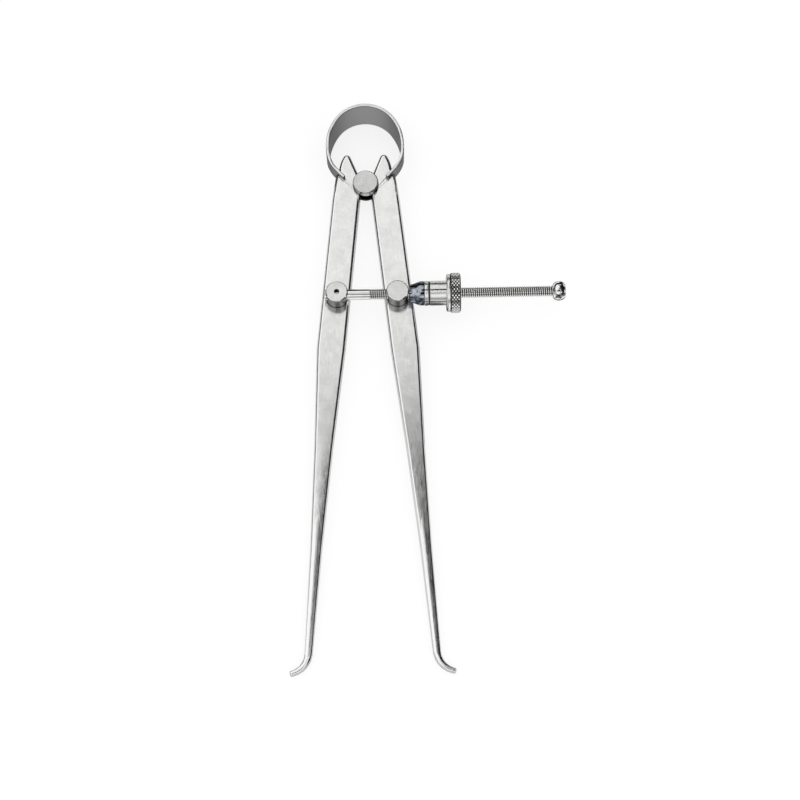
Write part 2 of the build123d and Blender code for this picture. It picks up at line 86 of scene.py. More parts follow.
# %% Camera
MM = 0.001
VIEW_TARGET = Vector((9.15, -69.66, 0)) * MM
VIEW_AZIMUTH = radians(-1.13)
VIEW_ELEVATION = radians(70.67)
VIEW_DISTANCE = 550 * MM
LENS, SENSOR = 83.9, 36  # focal length and width of the sensor, in millimetres
backwards = Vector((sin(VIEW_AZIMUTH) * cos(VIEW_ELEVATION), -cos(VIEW_AZIMUTH) * cos(VIEW_ELEVATION),
                    sin(VIEW_ELEVATION)))
bpy.ops.object.camera_add(location=VIEW_TARGET + backwards * VIEW_DISTANCE)
camera = bpy.context.object
camera.rotation_mode = "QUATERNION"
camera.rotation_quaternion = (-backwards).to_track_quat("-Z", "Y")
camera.data.lens = LENS
camera.data.sensor_width = SENSOR
camera.data.clip_start = 10 * MM
scene = bpy.context.scene
scene.camera = camera
scene.view_settings.view_transform = "Standard"
print("camera at", [round(value, 3) for value in camera.location])

# %% [markdown]
# ## Floor and light
# Polished steel has hardly any colour of its own: it shows the room. A white room would leave it white on
# white, so the light is an even white tent, and cards stand round the table, out of the picture. Black cards
# draw the dark lines along the edges, and a grey and a pale one keep the walls that face them lighter. The
# floor is a white sheet that stays white for the lens and for the metal.

# %% World
world = bpy.data.worlds.new("white_tent")
scene.world = world
world.use_nodes = True
tent = world.node_tree.nodes["Background"].inputs
tent["Color"].default_value = (1, 1, 1, 1)
tent["Strength"].default_value = 1.0
print("tent strength:", tent["Strength"].default_value)


# %% Shader nodes
def node_at(material, kind, **values):
    """Add a shader node and set its plain values."""
    made = material.node_tree.nodes.new("ShaderNode" + kind)
    for key, value in values.items():
        if key in made.inputs:
            made.inputs[key].default_value = value
        else:
            setattr(made, key, value)
    return made


def link(material, source, target):
    """Join an output to an input."""
    material.node_tree.links.new(source, target)


def combined(material, operation, first, second):
    """Add two outputs, or take the larger of them, as the operation says."""
    result = node_at(material, "Math", operation=operation)
    link(material, first, result.inputs[0])
    link(material, second, result.inputs[1])
    return result.outputs[0]


def matt(name, shade):
    """A dull material of one shade of grey, and the inputs of its shader."""
    material = bpy.data.materials.new(name)
    material.use_nodes = True
    inputs = material.node_tree.nodes["Principled BSDF"].inputs
    inputs["Base Color"].default_value = (shade, shade, shade, 1)
    inputs["Roughness"].default_value = 1.0
    print("matt", name, "shade", shade)
    return material, inputs


print("shader tools ready")

# %% Floor
FLOOR_WHITE = 0.22
FLOOR_LIFT = 0.8  # glow that the lens, metal and glass see on top of the sheet's own white
FLOOR_SIZE = 4
FOOT_BACK = -0.9 * MM  # height of the feet's backs, which rest on the table as the bow's rear edge does
bow_box, foot_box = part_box("bow_spring"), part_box("left_leg")
floor_tilt = (FOOT_BACK - bow_box[0].z) / (bow_box[1].y - foot_box[0].y)
bpy.ops.mesh.primitive_plane_add(size=FLOOR_SIZE, location=(0, bow_box[1].y, bow_box[0].z),
                                 rotation=(-floor_tilt, 0, 0))
floor = bpy.context.object
floor.name = "floor"
paper, paper_inputs = matt("white_sheet", FLOOR_WHITE)
paper_inputs["Specular IOR Level"].default_value = 0.0
rays = node_at(paper, "LightPath").outputs
seen = combined(paper, "ADD", rays["Is Camera Ray"], rays["Is Glossy Ray"])
seen = combined(paper, "ADD", seen, rays["Is Transmission Ray"])
lift = node_at(paper, "Math", operation="MULTIPLY")
link(paper, seen, lift.inputs[0])
lift.inputs[1].default_value = FLOOR_LIFT
paper_inputs["Emission Color"].default_value = (1, 1, 1, 1)
link(paper, lift.outputs[0], paper_inputs["Emission Strength"])
floor.data.materials.append(paper)
print("floor tilt, degrees:", round(degrees(floor_tilt), 2))

# %% Cards round the table
BLACK_CARD, DARK_CARD, GREY_CARD, PALE_CARD = 0.02, 0.15, 0.35, 0.85
TABLE_MIDDLE = (0, -0.06, 0)


def card(name, width, height, centre, shade, faces=TABLE_MIDDLE):
    """A card that the lens doesn't see and that throws no shadow, turned to face a point, in metres."""
    bpy.ops.mesh.primitive_plane_add(size=1, location=centre)
    sheet = bpy.context.object
    sheet.name = name
    sheet.scale = (width, height, 1)
    sheet.rotation_mode = "QUATERNION"
    sheet.rotation_quaternion = (Vector(faces) - Vector(centre)).to_track_quat("Z", "Y")
    sheet.data.materials.append(matt(name + "_cloth", shade)[0])
    sheet.visible_camera = False
    sheet.visible_shadow = False
    sheet.visible_diffuse = False


card("right_card", 1.6, 0.40, (0.60, -0.05, 0.29), BLACK_CARD)
card("right_high_card", 1.3, 0.62, (0.52, 0.12, 0.62), BLACK_CARD)
card("back_card", 1.2, 0.36, (0.0, 0.60, 0.15), BLACK_CARD)
card("front_card", 1.2, 0.40, (0.0, -0.80, 0.17), GREY_CARD)
card("left_front_card", 0.7, 0.45, (-0.60, -0.35, 0.2), PALE_CARD)
card("left_back_card", 0.6, 0.45, (-0.60, 0.35, 0.2), BLACK_CARD)

# %% [markdown]
# Three more cards have a task each. One behind the lens darkens the faces that look straight at it. One high
# above draws the line along the crest of the nut and the screw. A narrow one lies on the table, on the nut's
# near side, and darkens the lower part of the nut.

# %% Cards with a task
LENS_CARD_DISTANCE = 0.62
OVERHEAD = Vector((0.17, 0.142, 1.0))
BELOW_OVERHEAD = (0.17, 0.143, 0)
TABLE_CARD_WIDTH, TABLE_CARD_LENGTH = 8 * MM, 45 * MM
TABLE_CARD_X, NEAR_NUT = 19.5 * MM, 22.5 * MM  # across the table, and from the nut's axis towards the lens
TABLE_CARD_LIFT = 0.2 * MM


def middle(name):
    """The middle of a CAD part."""
    low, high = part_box(name)
    return (low + high) / 2


card("lens_card", 0.2, 0.2, VIEW_TARGET + backwards * LENS_CARD_DISTANCE, BLACK_CARD, VIEW_TARGET)
card("overhead_card", 0.45, 0.25, OVERHEAD, BLACK_CARD, BELOW_OVERHEAD)
table_y = middle("thumb_nut").y - NEAR_NUT
table_z = bow_box[0].z + (bow_box[1].y - table_y) * floor_tilt + TABLE_CARD_LIFT
card("table_card", TABLE_CARD_WIDTH, TABLE_CARD_LENGTH, (TABLE_CARD_X, table_y, table_z), DARK_CARD,
     (TABLE_CARD_X, table_y + sin(floor_tilt), table_z + cos(floor_tilt)))
print("table card at, mm:", round(table_y / MM, 2), round(table_z / MM, 2))

# %% [markdown]
# ## Finishes
# All the steel has one shader, with its own shade, gloss, clouds and grain for each piece. Clouds are broad,
# where the plating is a little thicker or the polish a little duller. On the blued cup they are sharp patches,
# partly the bluing's mottle and partly painted reflection, and on the bright knob they are sharp black and
# white patches of painted reflection. The grain is fine and long, from the last emery cloth, or runs in rings
# from the lathe.
# Both come from noise on Object coordinates, so they stay put on the part when it moves.
#
# Shade and highlight are painted on too. A shade follows how level a surface is: walls and rounded edges get
# painted shade, and nearly level edges a painted highlight. Painted shade is black at the roots of a thread or
# a knurl, in the pin's dimple, round the stud's head, the posts and the pin, and on the stud below the legs'
# faces, so it follows the distance from an axis or a height.


# %% Shades
def shades(material, source, dark, light, low, high):
    """Turn a noise value into a colour between two shades."""
    ramp = node_at(material, "ValToRGB")
    ramp.color_ramp.elements[0].position = low
    ramp.color_ramp.elements[0].color = (*dark, 1)
    ramp.color_ramp.elements[1].position = high
    ramp.color_ramp.elements[1].color = (*light, 1)
    link(material, source, ramp.inputs["Fac"])
    return ramp.outputs["Color"]


def slope_shades(material, level, slopes):
    """Turn how level a surface is into a grey, by (levelness, shade) pairs: a painted shade or highlight by
    slope.
    """
    ramp = node_at(material, "ValToRGB")
    for index, (levelness, shade) in enumerate(slopes):
        stops = ramp.color_ramp.elements
        stop = stops[index] if index < 2 else stops.new(levelness)
        stop.position, stop.color = levelness, (shade, shade, shade, 1)
    link(material, level, ramp.inputs["Fac"])
    return ramp.outputs["Color"]


def mixed(material, share, low, high):
    """Mix two colours by a share. Each colour is a plain value or another node's output."""
    mix = node_at(material, "Mix", data_type="RGBA")
    link(material, share, mix.inputs["Factor"])
    for color, socket in ((low, mix.inputs["A"]), (high, mix.inputs["B"])):
        if isinstance(color, tuple):
            socket.default_value = (*color, 1)
        else:
            link(material, color, socket)
    return mix.outputs["Result"]


def between(material, value, low, high, to_low=0.0, to_high=1.0, kind="SMOOTHSTEP"):
    """Map a value's range to another range, held at both ends."""
    spread = node_at(material, "MapRange", interpolation_type=kind)
    for socket, number in (("From Min", low), ("From Max", high), ("To Min", to_low), ("To Max", to_high)):
        spread.inputs[socket].default_value = number
    link(material, value, spread.inputs["Value"])
    return spread.outputs["Result"]


print("shading tools ready")


# %% Where a surface lies and faces
def distance_from(material, centre, axis):
    """Distance of a point from a turning axis, from Object coordinates."""
    place = node_at(material, "TexCoord")
    flatten = node_at(material, "Mapping", Scale=[0 if name == axis else 1 for name in "XYZ"])
    link(material, place.outputs["Object"], flatten.inputs["Vector"])
    away = node_at(material, "VectorMath", operation="DISTANCE")
    link(material, flatten.outputs["Vector"], away.inputs[0])
    away.inputs[1].default_value = [0 if name == axis else value for name, value in zip("XYZ", centre)]
    return away.outputs["Value"]


def squareness(material, place, axis):
    """How squarely a surface faces along an axis: 0 on a wall beside it, 1 on an end across it."""
    facing = node_at(material, "SeparateXYZ")
    link(material, place.outputs["Normal"], facing.inputs["Vector"])
    square = node_at(material, "Math", operation="ABSOLUTE")
    link(material, facing.outputs[axis], square.inputs[0])
    return square.outputs[0]


print("measuring tools ready")

# %% Steel
GLANCING = 0.3  # how much of the light a worn steel surface gives back at a glancing angle
# black of the painted shade in hollows, in gaps and under heads
PAINTED_SHADE = (0.03, 0.03, 0.03)
SHADE_EDGE = 0.1 * MM  # how softly the painted shade below a height ends
FLAT_END = (0.9, 0.97)  # squareness from which a flat end is kept free of the painted shade, and at which it fully is
GLOSS_SWING, GRAIN_STRENGTH = 0.06, 0.4
CLOTH_GRAIN, LATHE_GRAIN = (3000, 300, 3000), (4000, 0, 0)


def steel(name, dark, light, gloss, cloud=220, spread=(0.35, 0.65), grain=CLOTH_GRAIN, depth=0.02,
          slopes=None, turned_round=None, crevice=None, unshaded_ends=False, rings=(), painted_shade_below=None):
    """Steel: clouds between two shades, a roughness that varies round gloss, and a fine grain.

    cloud is the number of clouds in a metre, and spread says how soft they are. grain is the fineness of the
    grain along x, y and z, or away from an axis, and depth is its depth in millimetres.
    slopes are (levelness, shade) pairs, from an upright wall at 0 to a level face at 1, for painted shade and
    painted highlight by slope.
    turned_round is the (centre, axis) of lathe rings. crevice is the (radius of the roots, radius of the
    tops) between which the painted shade in a hollow ends, in millimetres, and unshaded_ends keeps that painted
    shade off the flat ends.
    rings are (centre, radius, width) of painted contact shadow round a head, and painted_shade_below is the
    height under which a piece is painted black as shade.
    """
    material = bpy.data.materials.new(name)
    material.use_nodes = True
    shader = material.node_tree.nodes["Principled BSDF"]
    shader.inputs["Metallic"].default_value = 1.0
    shader.inputs["Specular Tint"].default_value = (GLANCING, GLANCING, GLANCING, 1)
    place = node_at(material, "TexCoord")
    clouds = node_at(material, "TexNoise", Scale=cloud, Detail=5.0, Roughness=0.65)
    link(material, place.outputs["Object"], clouds.inputs["Vector"])
    color = shades(material, clouds.outputs["Fac"], dark, light, *spread)
    if slopes:
        level = squareness(material, place, "Z")
        slope_paint = slope_shades(material, level, slopes)
        color = mixed(material, between(material, level, slopes[-1][0], 1), slope_paint, color)
    if painted_shade_below is not None:
        height = node_at(material, "SeparateXYZ")
        link(material, place.outputs["Object"], height.inputs["Vector"])
        unshaded = between(material, height.outputs["Z"], painted_shade_below, painted_shade_below + SHADE_EDGE)
        color = mixed(material, unshaded, PAINTED_SHADE, color)
    for centre, radius, width in rings:
        away = distance_from(material, centre, "Z")
        unshaded = between(material, away, radius * MM, (radius + width) * MM)
        color = mixed(material, unshaded, PAINTED_SHADE, color)
    along = distance_from(material, *turned_round) if turned_round else place.outputs["Object"]
    if crevice:
        root, top = crevice
        unshaded = between(material, along, root * MM, top * MM)
        if unshaded_ends:
            flat_end_share = between(material, squareness(material, place, turned_round[1]), *FLAT_END)
            unshaded = combined(material, "MAXIMUM", unshaded, flat_end_share)
        color = mixed(material, unshaded, PAINTED_SHADE, color)
    link(material, color, shader.inputs["Base Color"])
    stretch = node_at(material, "Mapping", Scale=grain)
    link(material, along, stretch.inputs["Vector"])
    fibres = node_at(material, "TexNoise", Scale=1.0, Detail=3.0, Roughness=0.7)
    link(material, stretch.outputs["Vector"], fibres.inputs["Vector"])
    rough = between(material, fibres.outputs["Fac"], 0.3, 0.7, gloss - GLOSS_SWING, gloss + GLOSS_SWING,
                    "LINEAR")
    link(material, rough, shader.inputs["Roughness"])
    bump = node_at(material, "Bump", Strength=GRAIN_STRENGTH, Distance=depth * MM)
    link(material, fibres.outputs["Fac"], bump.inputs["Height"])
    link(material, bump.outputs["Normal"], shader.inputs["Normal"])
    print("steel:", name)
    return material


# %% Sizes that the finishes follow
def half_width(name, axis):
    """Half the width of a CAD part along an axis, in millimetres."""
    low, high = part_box(name)
    return (getattr(high, axis) - getattr(low, axis)) / 2 / MM


post_place = {"left": middle("left_post"), "right": middle("right_post")}
post_radius, stud_radius = half_width("left_post", "x"), half_width("fulcrum_stud", "x")
pin_radius = half_width("screw_lock_pin", "x")
axis_place = middle("thumb_nut")
axis_y, axis_z = axis_place.yz
screw_radius, nut_radius = half_width("adjusting_screw", "z"), half_width("thumb_nut", "z")
print("screw axis, mm:", round(axis_y / MM, 3), round(axis_z / MM, 3), "radius:", round(screw_radius, 3))

# %% Finishes of the legs, the bow and the stud
# Shades by slope: painted shade on walls and rounded edges, painted highlight on nearly level edges.
LEG_SLOPES = [(0, 0.85), (0.3, 0.8), (0.9, 0.75), (0.95, 0.95), (0.995, 0.95)]
BOW_SLOPES = [(0.05, 0.36), (0.2, 0.08), (0.78, 0.08), (0.84, 0.95), (0.97, 0.95)]
STUD_SLOPES = [(0.1, 0.62), (0.25, 0.12), (0.6, 0.12), (0.78, 0.72)]
HEAD_SHADOW_RING = 0.25  # width of the painted contact shadow round a head, in millimetres
# The legs get a painted contact shadow round the stud's head and round their post.
leg_steels = {side: steel("leg_steel_" + side, (0.76, 0.76, 0.75), (0.88, 0.88, 0.87), 0.2,
                          slopes=LEG_SLOPES, rings=[((0, 0, 0), stud_radius, HEAD_SHADOW_RING),
                                                    (post_place[side], post_radius, HEAD_SHADOW_RING)])
              for side in ("left", "right")}
bow_steel = steel("bow_steel", (0.82, 0.82, 0.82), (0.92, 0.92, 0.92), 0.34, slopes=BOW_SLOPES)
# The stud is painted black as shade below the legs' faces, where it shows between them.
stud_steel = steel("stud_steel", (0.58, 0.58, 0.57), (0.72, 0.72, 0.71), 0.24, slopes=STUD_SLOPES,
                   painted_shade_below=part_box("left_leg")[1].z)
print("finishes so far:", len(bpy.data.materials))

# %% Finishes of the posts, the pin and the screw
# Painted shade on the posts' sides and rounded corners, painted highlight next to their faces.
POST_SLOPES = [(0.2, 0.5), (0.4, 0.12), (0.66, 0.12), (0.76, 0.92), (0.97, 0.95)]
# width of the painted shade in the gap round the lock pin
PIN_GAP_SHADE = 0.1
post_steels = {side: steel("post_steel_" + side, (0.68, 0.68, 0.67), (0.8, 0.8, 0.79), 0.22,
                           slopes=POST_SLOPES, turned_round=(post_place[side], "Z"), grain=LATHE_GRAIN,
                           depth=0.03, rings=[(post_place["left"], pin_radius, PIN_GAP_SHADE)])
               for side in ("left", "right")}
# The pin's dimple is painted black as shade.
pin_steel = steel("pin_steel", (0.7, 0.7, 0.7), (0.8, 0.8, 0.8), 0.25, grain=LATHE_GRAIN,
                  turned_round=(post_place["left"], "Z"), crevice=(0.18, 0.28))
# Painted shade at the roots of the thread.
screw_steel = steel("screw_steel", (0.82, 0.82, 0.81), (0.93, 0.93, 0.92), 0.18, grain=LATHE_GRAIN,
                    turned_round=(axis_place, "X"), crevice=(screw_radius - 0.36, screw_radius - 0.16))
print("finishes so far:", len(bpy.data.materials))

# %% Finishes of the nut, the cup and the knob
ALONG_NUT = (5000, 150, 150)
nut_steel = steel("nut_steel", (0.86, 0.86, 0.85), (0.96, 0.96, 0.95), 0.3, grain=ALONG_NUT)
# Painted shade between the knurl's diamonds, kept off the flat ends.
knurled_steel = steel("knurled_steel", (0.86, 0.86, 0.85), (0.96, 0.96, 0.95), 0.2, grain=LATHE_GRAIN,
                      turned_round=(axis_place, "X"), crevice=(nut_radius - 0.22, nut_radius - 0.05),
                      unshaded_ends=True)
# The blued cup's sharp patches are partly the mottle of its bluing and partly painted reflection.
blued_steel = steel("blued_steel", (0.06, 0.065, 0.08), (0.5, 0.54, 0.6), 0.1, cloud=450,
                    spread=(0.42, 0.58), depth=0.005)
# The knob's sharp black and white patches are painted reflections.
knob_steel_painted_reflections = steel("knob_steel_painted_reflections", (0.1, 0.1, 0.1), (0.9, 0.9, 0.89), 0.08, cloud=700, spread=(0.46, 0.54),
                   depth=0.003)
spring_wire = steel("spring_wire", (0.1, 0.1, 0.1), (0.16, 0.16, 0.16), 0.3)
print("finishes, with the floor and the cards:", len(bpy.data.materials))

# %% [markdown]
# ## Tools of the bench
# Small tools serve every piece. Some select and finish, as one would by hand. One takes an exact copy of a CAD
# part as a clean mesh, and one rounds its corners. Each finished piece then gets its finish and hides the CAD
# part that it stands for, and all but the bow's halves are told which body they ride on.


# %% Selecting and finishing
def alone(piece):
    """Select one object and nothing else."""
    bpy.ops.object.select_all(action="DESELECT")
    piece.select_set(True)
    bpy.context.view_layer.objects.active = piece


def editing(piece):
    """Open a piece in edit mode with nothing selected."""
    alone(piece)
    bpy.ops.object.mode_set(mode="EDIT")
    bpy.ops.mesh.select_all(action="DESELECT")


def done():
    """Leave edit mode."""
    bpy.ops.object.mode_set(mode="OBJECT")


def placed(piece):
    """Put an object's place, turn and size into its mesh."""
    alone(piece)
    bpy.ops.object.transform_apply(location=True, rotation=True, scale=True)


def pick(kind, wanted):
    """In edit mode, add to the selection the vertices, edges or faces that the test wants."""
    bpy.ops.mesh.select_mode(type=kind)
    shape = bmesh.from_edit_mesh(bpy.context.object.data)
    parts = {"VERT": shape.verts, "EDGE": shape.edges, "FACE": shape.faces}[kind]
    found = [part for part in parts if wanted(part)]
    for part in found:
        part.select = True
    shape.select_flush_mode()
    bmesh.update_edit_mesh(bpy.context.object.data)


def applied(piece, kind, **settings):
    """Add a modifier with these settings and apply it."""
    alone(piece)
    bpy.ops.object.modifier_add(type=kind)
    modifier = piece.modifiers[-1]
    for key, value in settings.items():
        setattr(modifier, key, value)
    bpy.ops.object.modifier_apply(modifier=modifier.name)


def smooth(piece, angle=35):
    """Shade the curves smooth and keep the flats flat."""
    alone(piece)
    bpy.ops.object.shade_smooth_by_angle(angle=radians(angle))
    applied(piece, "WEIGHTED_NORMAL", keep_sharp=True)


def dress(piece, material, slot, *replaced):
    """Give a piece its finish, and hide the CAD nodes that it stands for. The slot is not used."""
    piece.data.materials.clear()
    piece.data.materials.append(material)
    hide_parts(*replaced)
    print(piece.name, "faces:", len(piece.data.polygons))


print("bench tools ready for", len(nodes), "CAD parts")

# %% Copies of CAD parts
SAME_POINT = 0.002 * MM  # closer corners than this are one
SAME_PLANE = radians(0.2)  # triangles that lie flatter together than this become one face


def borrowed(node_name, name):
    """A merged copy of a CAD part, at its own place."""
    alone(nodes[node_name])
    bpy.ops.object.duplicate()
    piece = bpy.context.object
    piece.name = piece.data.name = name
    bpy.ops.object.parent_clear(type="CLEAR")
    del piece["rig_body"], piece["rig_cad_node"]
    editing(piece)
    bpy.ops.mesh.select_all(action="SELECT")
    bpy.ops.mesh.remove_doubles(threshold=SAME_POINT)
    bpy.ops.mesh.dissolve_limited(angle_limit=SAME_PLANE)
    done()
    return piece


def eased(piece, width, steps=2, angle=40, clamped=True):
    """Round a piece's corners. Unclamped, the width holds where the mesh has short edges too."""
    applied(piece, "BEVEL", width=width * MM, segments=steps, limit_method="ANGLE",
            angle_limit=radians(angle), harden_normals=False, use_clamp_overlap=clamped)
    print(piece.name, "corners of", width, "mm")


# %% [markdown]
# ## Legs
# Each leg is a flat steel bar, ground to a tapered shank and bent into a foot. The CAD leg already has its
# whole shape, so a merged copy is used. Merging lets the shading run over the joins between its faces, as a
# ground and polished surface does, and weighted normals keep the broad faces flat.

# %% Legs
LEG_CREASE = 50  # edges sharper than this stay sharp, in degrees
for side in ("left", "right"):
    leg = borrowed(f"{side}_leg", f"{side}_leg_plated")
    smooth(leg, LEG_CREASE)
    dress(leg, leg_steels[side], "leg_steel", f"{side}_leg")
    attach(leg, f"{side}_leg")

# %% [markdown]
# ## Bow spring
# The bow is one strip of spring steel, bent edgewise round the stud, and its forked ends press the legs apart.
# It has to bend when the legs open, and a mesh can follow only one joint, so the bow is cut at its crown into
# two halves. Here the halves are put on no body, so they don't bend. Its long corners are eased, as on rolled
# strip.
#
# Both copies are taken before either is dressed, because a dressed piece takes its CAD part's place.

# %% Bow spring
BOW_BREAK = 0.24  # corners of the strip, broken with a file

halves = {side: borrowed("bow_spring", f"bow_{side}_half") for side in ("left", "right")}
for side, sign in (("left", -1), ("right", 1)):
    half = halves[side]
    eased(half, BOW_BREAK, clamped=False)
    editing(half)
    bpy.ops.mesh.select_all(action="SELECT")
    bpy.ops.mesh.bisect(plane_co=(0, 0, 0), plane_no=(sign, 0, 0), use_fill=True, clear_inner=True)
    done()
    smooth(half)
    dress(half, bow_steel, "bow_steel", "bow_spring")
    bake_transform(half)

# %% [markdown]
# ## Turning
# The pin, the screw's shank, the knob and the cup are lathe work. Each starts as a circle, which is extruded
# and scaled ring by ring along its axis. A full piece has its two ends filled, and a bored one has its last
# ring bridged back to its first.
#
# The stud and the posts stand in the legs, so they stay copies of the CAD parts below. Only their tops are cut
# off and drawn up again, ring by ring, into a face with a rounded corner.

# %% Turning
ALONG = {"X": Vector((1, 0, 0)), "Z": Vector((0, 0, 1))}


def turned(name, foot, profile, axis="X", sides=64, bored=False):
    """Turn a piece through rings given as (distance from foot, radius), in millimetres."""
    along = ALONG[axis]
    bpy.ops.object.select_all(action="DESELECT")
    bpy.ops.mesh.primitive_circle_add(vertices=sides, radius=profile[0][1] * MM,
                                      location=foot + along * profile[0][0] * MM,
                                      rotation=(0, pi / 2, 0) if axis == "X" else (0, 0, 0))
    piece = bpy.context.object
    piece.name = piece.data.name = name
    placed(piece)
    bpy.ops.object.mode_set(mode="EDIT")
    bpy.ops.mesh.select_all(action="SELECT")
    for (here, radius), (there, next_radius) in zip(profile, profile[1:]):
        bpy.ops.mesh.extrude_region_move(TRANSFORM_OT_translate={"value": along * (there - here) * MM})
        growth = next_radius / radius
        size = (1, growth, growth) if axis == "X" else (growth, growth, 1)
        bpy.ops.transform.resize(value=size, center_override=foot + along * there * MM)
    if bored:
        pick("VERT", lambda vertex: vertex.index < sides)
        bpy.ops.mesh.bridge_edge_loops()
    else:
        bpy.ops.mesh.edge_face_add()
        bpy.ops.mesh.select_all(action="DESELECT")
        pick("VERT", lambda vertex: vertex.index < sides)
        bpy.ops.mesh.edge_face_add()
    bpy.ops.mesh.select_all(action="SELECT")
    bpy.ops.mesh.normals_make_consistent(inside=False)
    done()
    print(name, "rings:", len(profile))
    return piece


# %% Rounded tops
def crowned(piece, centre, radius, top, corner, flare=0.0, steps=6):
    """Cut a standing piece off below its top and draw it up again with a rounded corner, in millimetres.

    flare is how much wider the piece is at the corner than at its foot.
    """
    base = top - corner
    editing(piece)
    bpy.ops.mesh.select_all(action="SELECT")
    bpy.ops.mesh.bisect(plane_co=(0, 0, base * MM), plane_no=(0, 0, 1), use_fill=True, clear_outer=True)
    bpy.ops.mesh.select_all(action="DESELECT")
    pick("FACE", lambda face: face.normal.z > 0.9 and face.calc_center_median().z > (base - 0.01) * MM)
    bpy.ops.transform.resize(value=((radius + flare) / radius, (radius + flare) / radius, 1),
                             center_override=(centre.x, centre.y, 0))
    radius += flare
    height, width = base, radius
    for step in range(1, steps + 1):
        turn = pi / 2 * step / steps
        next_height, next_width = base + corner * sin(turn), radius - corner * (1 - cos(turn))
        bpy.ops.mesh.extrude_region_move(TRANSFORM_OT_translate={"value": (0, 0, (next_height - height) * MM)})
        bpy.ops.transform.resize(value=(next_width / width, next_width / width, 1),
                                 center_override=(centre.x, centre.y, next_height * MM))
        height, width = next_height, next_width
    done()
    print(piece.name, "top at, mm:", round(height, 2), "face radius:", round(width, 2))


# %% [markdown]
# ## Fulcrum stud
# The stud is a spool. Its front head is faced off in the lathe, and its rear end is riveted over in a second
# head, so the legs turn between the two.

# %% Fulcrum stud
STUD_CORNER, RIVET_ROUND, RIVET_STEPS = 0.35, 0.25, 3
stud = borrowed("fulcrum_stud", "fulcrum_stud_turned")
crowned(stud, middle("fulcrum_stud"), stud_radius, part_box("fulcrum_stud")[1].z / MM, STUD_CORNER)
smooth(stud)
dress(stud, stud_steel, "stud_steel", "fulcrum_stud")
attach(stud, "root")
# The rear head takes the stud's finish and lies below the legs' faces, so it is painted black as shade all
# over.
rear = borrowed("fulcrum_rear_head", "fulcrum_rear_head_turned")
eased(rear, RIVET_ROUND, RIVET_STEPS)
smooth(rear)
dress(rear, stud_steel, "stud_steel", "fulcrum_rear_head")
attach(rear, "root")

# %% [markdown]
# ## Posts
# The posts turn in the legs, so that the screw stays straight while the legs swing. The screw is pinned in the
# left post and slides through the right one. Each post is riveted at the back of its leg. It widens very
# slightly towards its face, and the face has a rounded corner.

# %% Posts
POST_CORNER, POST_FLARE = 0.42, 0.09
for side, body in (("left", "screw"), ("right", "right_post")):
    post = borrowed(f"{side}_post", f"{side}_post_turned")
    crowned(post, post_place[side], post_radius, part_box(f"{side}_post")[1].z / MM, POST_CORNER, POST_FLARE)
    smooth(post)
    dress(post, post_steels[side], "post_steel", f"{side}_post")
    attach(post, body)
    rivet = borrowed(f"{side}_post_rivet_head", f"{side}_post_rivet_head_turned")
    eased(rivet, RIVET_ROUND, RIVET_STEPS)
    smooth(rivet)
    dress(rivet, post_steels[side], "post_steel", f"{side}_post_rivet_head")
    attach(rivet, body)

# %% [markdown]
# ## Lock pin
# A pin driven into the top of the left post holds the screw. It is drawn as a lathe piece, with a small chamfer
# round its face and a punched dimple in the middle.
#
# Known fault: the rounded tops leave Blender picking faces. A bare circle has no faces, so it can't be picked
# and drawn up here, and only one small disc comes out. The pin's hole looks empty. It would take one line in
# turned(), before its first select_all, that sets the select mode to points.

# %% Lock pin
PIN_CHAMFER, PIN_DIMPLE, PIN_FACE, PIN_POINT = 0.1, 0.25, 0.32, 0.12  # the last two are radii
pin_low, pin_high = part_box("screw_lock_pin")
pin_length = (pin_high.z - pin_low.z) / MM
pin_foot = Vector((*middle("screw_lock_pin").xy, pin_low.z))
pin = turned("screw_lock_pin_turned", pin_foot,
             [(0, pin_radius), (pin_length - PIN_CHAMFER, pin_radius), (pin_length, pin_radius - PIN_CHAMFER),
              (pin_length, PIN_FACE), (pin_length - PIN_DIMPLE, PIN_POINT)], "Z", 32)
smooth(pin)
dress(pin, pin_steel, "pin_steel", "screw_lock_pin")
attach(pin, "screw")

# %% [markdown]
# ## Adjusting screw
# The screw has 40 turns to the inch on an eighth of an inch, cut from a little way right of the left post to
# the knob. Its shank is a turned piece that ends in a short run-out.
#
# The thread is a real helix. A rectangle one pitch wide is narrowed at its outer side to the crest, and loses
# its inner side. The Screw modifier winds the other three sides round the axis. The two ends are then cut
# square and filled, and the thread is joined to the shank.
#
# Known fault: the filling at the shank's end of the thread leaves a gap about 0.2 mm wide, beside the run-out.

# %% Shank
SHANK_CHAMFER, RUN_OUT = 0.3, 0.3
THREAD_START = 9.7  # left post's axis to the first turn
THREAD_DEPTH = 0.39
root_radius = screw_radius - THREAD_DEPTH
left_foot = Vector((post_place["left"].x, axis_y, axis_z))
stub = (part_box("adjusting_screw")[0].x - left_foot.x) / MM
screw = turned("adjusting_screw_cut", left_foot,
               [(stub, screw_radius - SHANK_CHAMFER), (stub + SHANK_CHAMFER, screw_radius),
                (THREAD_START, screw_radius), (THREAD_START + RUN_OUT, root_radius)], "X", 48)
print("shank from, mm:", round(stub, 2), "to", THREAD_START)

